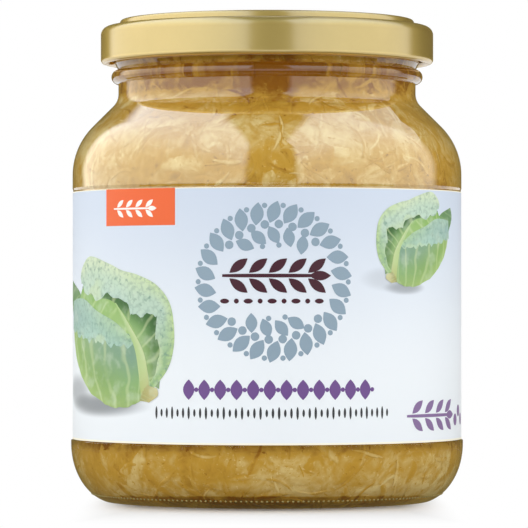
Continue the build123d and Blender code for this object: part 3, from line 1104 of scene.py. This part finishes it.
shapes = ring_rule.node("GeometryNodeInstanceOnPoints", {}, {
    "Points": placed, "Selection": clear_of, "Instance": ring_rule.entry, "Rotation": facing,
})
ring_rule.close(shapes)


def ring_of(shape, count, ring, start=0.0, tilt=0.0, material=None, **clear):
    """Repeats a shape round a circle, except in a clear place in its middle."""
    return ring_rule.make(
        "ring", shape, Count=count, Ring=ring, Start=start, Tilt=tilt,
        Material=material or inked.material, **clear,
    )


# %% Lay the rings of the rosette
def single(length, width, point):
    """One upright shape at the origin, for a rule to repeat."""
    art = Print()
    art.blade(0.0, 0.0, pi / 2, length, width, SLATE, 1, point)
    return art.mesh("shape")


def gather(meshes, x, z):
    """Several flat meshes as one, moved to a place on the label."""
    shape = bmesh.new()
    for mesh in meshes:
        shape.from_mesh(mesh)
    bmesh.ops.translate(shape, verts=shape.verts, vec=(x, 0, z))
    joined_up = bpy.data.meshes.new("gathered")
    shape.to_mesh(joined_up)
    shape.free()
    return joined_up


LEAF_SHAPE, DISC_SHAPE = 1.0, 0.5
ROSETTE_X, ROSETTE_Z = 1.6 * MM, 56.1 * MM
large_leaf = single(5.6 * MM, 3.3 * MM, LEAF_SHAPE)
small_leaf = single(4.8 * MM, 2.9 * MM, LEAF_SHAPE)
berry, seed = single(2.1 * MM, 2.1 * MM, DISC_SHAPE), single(1.3 * MM, 1.3 * MM, DISC_SHAPE)
badge = {"Clear_Width": 15.4 * MM, "Clear_Height": 8.2 * MM, "Clear_Middle": -0.2 * MM}
rings = (
    (large_leaf, 26, 17.0, 0, 20), (seed, 26, 18.7, 7, 0), (berry, 26, 14.1, 5, 0),
    (small_leaf, 19, 11.4, 0, -30), (seed, 14, 9.0, 8, 0),
)
rosette = gather([
    ring_of(shape, count, ring * MM, radians(start), radians(tilt), **badge)
    for shape, count, ring, start, tilt in rings
], ROSETTE_X, ROSETTE_Z)
stick("rosette_print", rosette, inked.material)

# %% [markdown]
# ## The knurled foot
#
# The mould leaves a ring of small beads round the foot, which keep the hot glass off the conveyor.
# There are 220, so the rule for rings repeats one bead. They are glass, small and worn, but their
# plain, slightly rough finish is opaque pale sand: partly wear, partly painted glints of the glass.

# %% Knurl the foot
# A pale sandy colour: partly wear on the glass, partly painted glints that clear beads catch.
wear_and_glint = Finish("worn_glass")
wear_and_glint.end(wear_and_glint.shader(Base_Color=screen(154, 140, 84), Roughness=0.35, Specular_IOR_Level=0.5))
KNURLS, KNURL_R, KNURL_Z = 220, RING_R + 6.1 * MM, 2.45 * MM
KNURL_SIZE = (0.65 * MM, 0.55 * MM, 0.5 * MM)


def bead_mesh(width, height, depth):
    """A small rounded bead at the origin."""
    shape = bmesh.new()
    bmesh.ops.create_icosphere(shape, subdivisions=2, radius=0.5)
    bmesh.ops.scale(shape, verts=shape.verts, vec=(width, height, depth))
    mesh = bpy.data.meshes.new("bead")
    shape.to_mesh(mesh)
    shape.free()
    return mesh


foot = ring_of(bead_mesh(*KNURL_SIZE), KNURLS, KNURL_R, material=wear_and_glint.material)
foot.transform(Matrix.Translation((0, 0, KNURL_Z)) @ Matrix.Rotation(-pi / 2, 4, "X"))
piece("foot_knurls", foot, "clear_glass", "jar")

# %% [markdown]
# ## Ornaments
#
# Sprigs, dots and short blades fill the lines that lettering would. No two lines are alike, so
# they are laid out one by one: every shape is a disc, a leaf or a bar of ink.

# %% Draw the ornaments one by one
ornaments = Print()


def sprig(x, z, length, height, ink, pairs, layer=1):
    """A stem with pairs of leaves along it and one at its tip."""
    ornaments.blade(x, z, 0, length, height * 0.10, ink, layer, 0.1)
    for i in range(pairs):
        at = x + length * ((i + 0.5) / pairs - 0.5)
        for side in (-1, 1):
            ornaments.blade(
                at + 0.18 * height, z + side * 0.27 * height, side * radians(38), height * 0.62,
                height * 0.26, ink, layer, 1.0,
            )
    ornaments.blade(x + length * 0.5, z, 0, height * 0.6, height * 0.26, ink, layer, 1.0)


def blades(count, first, gap, z, angle, lengths, width, ink, layer=1, point=0.5):
    """Blades in a row, with sizes and places in mm. Their lengths take turns."""
    for i in range(count):
        length = lengths[i % len(lengths)] * MM
        ornaments.blade((first + gap * i) * MM, z * MM, angle, length, width * MM, ink, layer, point)


TAB_LEFT, TAB_LENGTH, TAB_FOOT, TAB_HEIGHT = -46.2 * MM, 22.9 * MM, 70.0 * MM, 9.1 * MM
ornaments.film(
    18, 4, lambda t, w: (TAB_LEFT + TAB_LENGTH * t, TAB_FOOT + TAB_HEIGHT * w), lambda t, w: ORANGE, 1
)
sprig(-36.5 * MM, 74.2 * MM, 13.0 * MM, 4.6 * MM, WHITE, 4, 2)
sprig(1.0 * MM, 57.6 * MM, 24.0 * MM, 9.0 * MM, MAROON, 5, 2)
sprig(48.0 * MM, 23.0 * MM, 20.0 * MM, 8.2 * MM, MAUVE, 4)
blades(9, -10.4, 2.9, 51.4, 0, (2.2, 1.2), 1.2, MAROON, 2)
blades(12, -19.6, 4.05, 29.8, pi / 2, (4.9,), 3.0, PURPLE, point=LEAF_SHAPE)
blades(12, -17.6, 4.05, 29.8, 0, (1.1,), 1.1, PURPLE)
blades(41, -28.6, 1.5, 24.1, pi / 2, (3.1, 1.9, 2.5), 0.62, GREY, point=0.6)
blades(2, 62.6, 6.8, 21.6, 0, (3.0,), 3.0, MAUVE)
blades(1, 66.0, 0.0, 23.8, 0, (3.0,), 3.0, MAUVE)
stick("ornament_print", ornaments.mesh("ornaments"), inked.material)

# %% [markdown]
# ## Printed cabbages
#
# Two cabbages are drawn from the same eight leaves, a small one and a large one that is turned
# about. A leaf is a strip between two smooth edges. Its inks run across and along it, its edge may
# be frilled, and its finish adds veins, crinkles and flecks, as a painter would.

# %% List the leaves of a cabbage
RIM, SAVOY, BLUE, TEAL = (224, 236, 202), (192, 217, 200), (168, 203, 190), (132, 168, 146)
LEAF, YOUNG, DARK, RIB = (148, 190, 112), (188, 214, 150), (58, 106, 52), (216, 230, 178)

# Each leaf has two edges, rows of inks along it, each from its first edge to its second, then its
# layer, its veins, how much it crinkles and how much it frills.
LEAVES = {
    "tip": (((1.04, 0.50), (0.97, 0.67), (1.04, 0.77), (1.28, 0.84)),
     ((1.12, 0.46), (1.26, 0.62), (1.33, 0.74), (1.29, 0.84)),
     ((LEAF, (96, 142, 84)), ((84, 130, 80), (110, 150, 112))), 1, 5, 0.2, 0.004),
    "hollow": (((0.12, 0.13), (0.09, 0.45), (0.12, 0.64), (0.45, 0.76), (0.80, 0.86), (0.96, 0.80)),
     ((0.24, 0.18), (0.30, 0.34), (0.36, 0.46), (0.60, 0.60), (0.84, 0.70), (1.0, 0.66)),
     (((110, 150, 84), (196, 214, 152)), (DARK, DARK, (138, 178, 110), (190, 212, 156)),
      (DARK, DARK, (118, 162, 94), (168, 200, 140)), (DARK, DARK, (110, 154, 84))), 2, 9, 0.0, 0.0),
    "inner": (((0.20, 0.20), (0.27, 0.38), (0.335, 0.52), (0.46, 0.65), (0.57, 0.71), (0.76, 0.73),
               (0.96, 0.79)),
     ((0.28, 0.20), (0.33, 0.36), (0.45, 0.44), (0.66, 0.50), (0.84, 0.56), (0.94, 0.62), (1.02, 0.72)),
     ((YOUNG, YOUNG, RIB), ((128, 178, 82), (138, 186, 92), (160, 200, 140))), 3, 7, 0.1, 0.004),
    "wrapper": (((0.205, 0.09), (0.06, 0.25), (0.01, 0.40), (0.01, 0.56), (0.045, 0.70), (0.145, 0.81),
                 (0.30, 0.875), (0.445, 0.905), (0.58, 0.95), (0.82, 1.0), (0.96, 0.93), (1.0, 0.86)),
     ((0.215, 0.12), (0.15, 0.25), (0.115, 0.38), (0.15, 0.48), (0.14, 0.60), (0.22, 0.62), (0.34, 0.60),
      (0.39, 0.68), (0.58, 0.74), (0.75, 0.72), (0.90, 0.76), (0.985, 0.84)),
     ((YOUNG, LEAF, YOUNG), ((206, 228, 166), SAVOY, SAVOY), (RIM, (206, 228, 206), (198, 222, 212)),
      (RIM, SAVOY, (206, 230, 210))), 4, 0, 1.0, 0.014),
    "ball": (((0.19, 0.16), (0.27, 0.42), (0.43, 0.50), (0.73, 0.53), (0.95, 0.60), (1.12, 0.66),
              (1.22, 0.62)),
     ((0.20, 0.10), (0.26, 0.055), (0.36, 0.015), (0.50, 0.0), (0.64, 0.03), (0.85, 0.115),
      (1.045, 0.26), (1.17, 0.42), (1.225, 0.60)),
     ((RIB, LEAF, (150, 182, 98)), (TEAL, TEAL, (146, 186, 124), (160, 190, 112)),
      (TEAL, (140, 176, 136), (138, 176, 100), (170, 198, 116)),
      (TEAL, (152, 188, 112), (148, 186, 98), (176, 206, 126)), (TEAL, YOUNG, (176, 198, 126))),
     5, 8, 0.2, 0.003),
    "fold": (((0.31, 0.43), (0.50, 0.56), (0.73, 0.64), (0.90, 0.71), (1.05, 0.72), (1.22, 0.70)),
     ((0.31, 0.42), (0.46, 0.405), (0.61, 0.42), (0.75, 0.44), (0.90, 0.45), (1.08, 0.48), (1.235, 0.52)),
     (((186, 216, 160), BLUE), ((184, 212, 194), BLUE, (186, 220, 208)), (BLUE, (158, 190, 190), BLUE)),
     6, 0, 0.9, 0.012),
    "stem": (((0.20, 0.09), (0.205, 0.20), (0.25, 0.38), (0.38, 0.56), (0.50, 0.69)),
     ((0.265, 0.06), (0.285, 0.22), (0.325, 0.40), (0.42, 0.56), (0.51, 0.69)),
     (((204, 196, 134), (188, 196, 120)), ((206, 222, 160), (194, 216, 150)), (RIB, (180, 210, 142)),
      ((196, 220, 156), (160, 200, 120))), 7, 0, 0.0, 0.0),
    "cut": (((0.135, 0.135), (0.13, 0.085), (0.20, 0.04)), ((0.215, 0.145), (0.25, 0.11), (0.275, 0.055)),
     (((230, 222, 170), (204, 198, 136)), ((206, 190, 128), (178, 172, 96))), 8, 5, 0.3, 0.006),
}
print("a cabbage has", len(LEAVES), "leaves")

# %% Draw the cabbages leaf by leaf
cabbages = Print()


def mixed_ink(inks, t, w):
    """The ink at w across and t along, between the inks that are listed."""
    t = min(max(t, 0.0), 1.0)
    rows = [[np.interp(w, np.linspace(0, 1, len(row)), [ink[k] for ink in row]) for k in range(3)]
            for row in inks]
    mixed = [np.interp(t, np.linspace(0, 1, len(rows)), [row[k] for row in rows]) for k in range(3)]
    return screen(*mixed)


def cabbage_print(x, z, height, side):
    """A cabbage of overlapping leaves. It leans towards the side."""
    for first, second, inks, layer, veins, crinkle, frill in LEAVES.values():
        def place(t, w, first=first, second=second, frill=frill):
            a, b = through(first, t), through(second, t)
            ruffle = frill * w * w * (sin(61 * t) + 0.7 * sin(37 * t + 1) + 0.5 * sin(113 * t))
            u, v = a + (b - a) * w + (0, ruffle)
            return x + side * u * height, z + v * height

        rows = max(16, int(height / (0.5 * MM)))
        cabbages.film(rows, 10, place, lambda t, w: mixed_ink(inks, t, w), layer, veins, crinkle)


cabbage_print(28.0 * MM, 54.9 * MM, 23.7 * MM, 1)
cabbage_print(-23.3 * MM, 25.0 * MM, 37.6 * MM, -1)

# %% Vein and crinkle the printed leaves
CREASE, VEIN, GLEAM = screen(118, 156, 140), screen(212, 228, 174), screen(230, 242, 222)
PRINT_DEPTH = (0.87, 0.90, 0.87)
painted = Finish("cabbage_print")
ink, grain = painted.paint("ink"), painted.paint("grain", "Fac")
flat = painted.uv("print")
leaf_t, leaf_w, _ = painted.uv("leaf").split()
drift = painted.vectors("SCALE", painted.noise(500.0, 2.0, flat).out("Color"), scale=0.0012)
bent = painted.vectors("ADD", flat, drift)
cell = painted.cells(900.0, bent)
groove = cell.out("Distance").ease(0.40, 0.80) * grain
fleck = painted.noise(800.0, 2.0, flat).ease(0.56, 0.66) * grain
blotch = painted.noise(300.0, 2.0, bent)
wander = painted.noise(85.0, 2.0, flat)
stripe = (leaf_t + wander * 1.6 + leaf_w * 0.5).math("FRACT").math("SUBTRACT", 0.5).math("ABSOLUTE")
vein = stripe.ease(0.02, 0.16, 0.42, 0.0) * leaf_w.ease(0.0, 0.12) * wander.ease(0.3, 0.5)
shaded = (groove * 0.30 + fleck * 0.46).math("MINIMUM", 1.0).blend(ink, CREASE)
veined = vein.blend(shaded, VEIN)
lit = (blotch.ease(0.45, 0.75) * 0.26).blend(veined, GLEAM)
printed = painted.vectors("MULTIPLY", lit, PRINT_DEPTH)
painted.end(painted.shader(Base_Color=printed, Roughness=0.45, Specular_IOR_Level=0.35))
stick("cabbage_print", cabbages.mesh("cabbages"), painted.material)

# %% Print the size of the dressed model
low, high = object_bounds()
print("visual box", [round(x, 4) for x in high - low])
